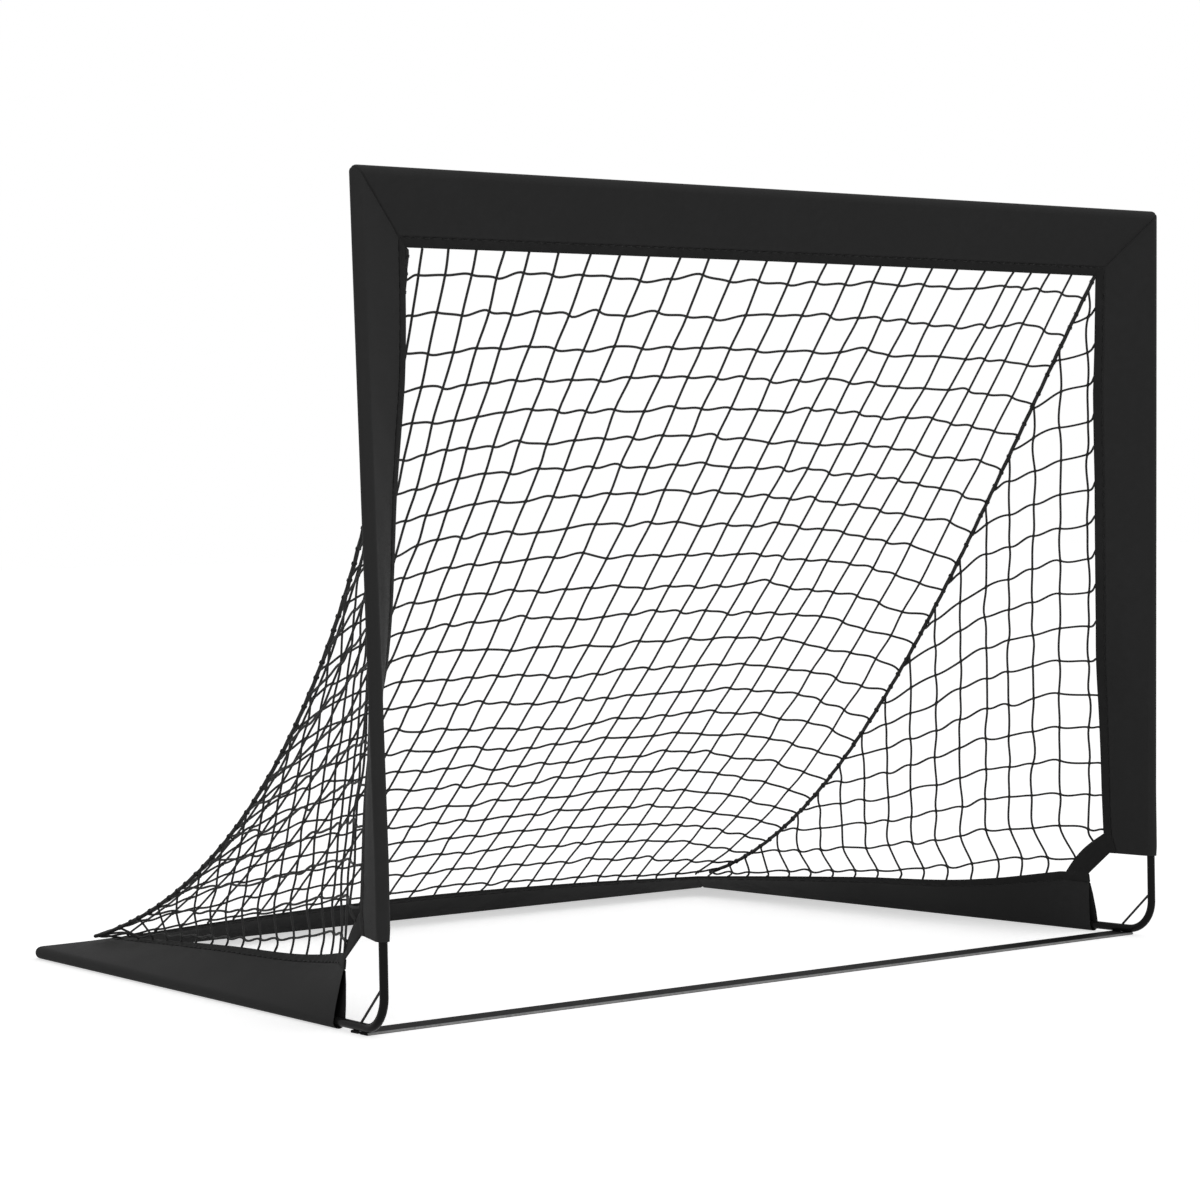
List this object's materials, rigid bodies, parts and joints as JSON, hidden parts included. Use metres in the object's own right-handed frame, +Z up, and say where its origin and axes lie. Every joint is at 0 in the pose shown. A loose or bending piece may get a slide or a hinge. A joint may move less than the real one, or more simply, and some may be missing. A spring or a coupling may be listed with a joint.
{
  "type": "goal net",
  "caption": "Free-standing goal: steel pole frame in cloth sleeves with a sloping square-mesh net, bent elbows and a flat ground bar.",
  "frame": {"origin": "on the ground, in the middle of the footprint's bounding box", "axes": "+X along the mouth to the right as seen from the front, +Y from the mouth to the rear, +Z up"},
  "size_m": [1.2464, 0.878, 0.941],
  "materials": {
    "gloss_tube": "gloss black paint on bent steel tube",
    "pole_steel": "black painted steel tube",
    "bar_steel": "black painted flat steel with paler worn edges",
    "plated_steel": "zinc plated steel",
    "corner_plastic": "moulded black nylon",
    "sleeve_cloth": "coated plain-weave cloth, satin black, stitched hems",
    "net_twine": "black braided twine",
    "rope": "black laid rope",
    "elastic_cord": "black braided elastic cord"
  },
  "bodies": {
    "ground_frame": {"elbow_left": "gloss_tube", "elbow_right": "gloss_tube", "elbow_cord_left": "elastic_cord", "elbow_cord_right": "elastic_cord", "ground_bar": "bar_steel", "bar_screws": "plated_steel", "side_pole_left_front": "pole_steel", "side_pole_left_rear": "pole_steel", "side_ferrule_left": "plated_steel", "side_pole_right_front": "pole_steel", "side_pole_right_rear": "pole_steel", "side_ferrule_right": "plated_steel", "rear_corner_left": "corner_plastic", "rear_corner_right": "corner_plastic", "rear_pole_left": "pole_steel", "rear_pole_right": "pole_steel", "rear_ferrule": "plated_steel", "ground_cord": "elastic_cord", "side_sleeve_left": "sleeve_cloth", "side_sleeve_right": "sleeve_cloth", "rear_sleeve": "sleeve_cloth", "gusset_left": "sleeve_cloth", "gusset_right": "sleeve_cloth"},
    "mouth_frame": {"upright_pole_left_lower": "pole_steel", "upright_pole_left_upper": "pole_steel", "upright_ferrule_left": "plated_steel", "upright_pole_right_lower": "pole_steel", "upright_pole_right_upper": "pole_steel", "upright_ferrule_right": "plated_steel", "top_corner_left": "corner_plastic", "top_corner_right": "corner_plastic", "crossbar_pole_left": "pole_steel", "crossbar_pole_right": "pole_steel", "crossbar_ferrule": "plated_steel", "mouth_cord": "elastic_cord", "crossbar_sleeve": "sleeve_cloth", "upright_sleeve_left": "sleeve_cloth", "upright_sleeve_right": "sleeve_cloth", "rear_net": "net_twine", "side_net_left": "net_twine", "side_net_right": "net_twine", "corner_rope_left": "rope", "corner_rope_right": "rope"}
  },
  "joints": [
    {"name": "mouth_lift", "type": "slide", "parent": "ground_frame", "child": "mouth_frame", "axis": [0, 0, 1], "range_m": [0, 0.055]}
  ]
}
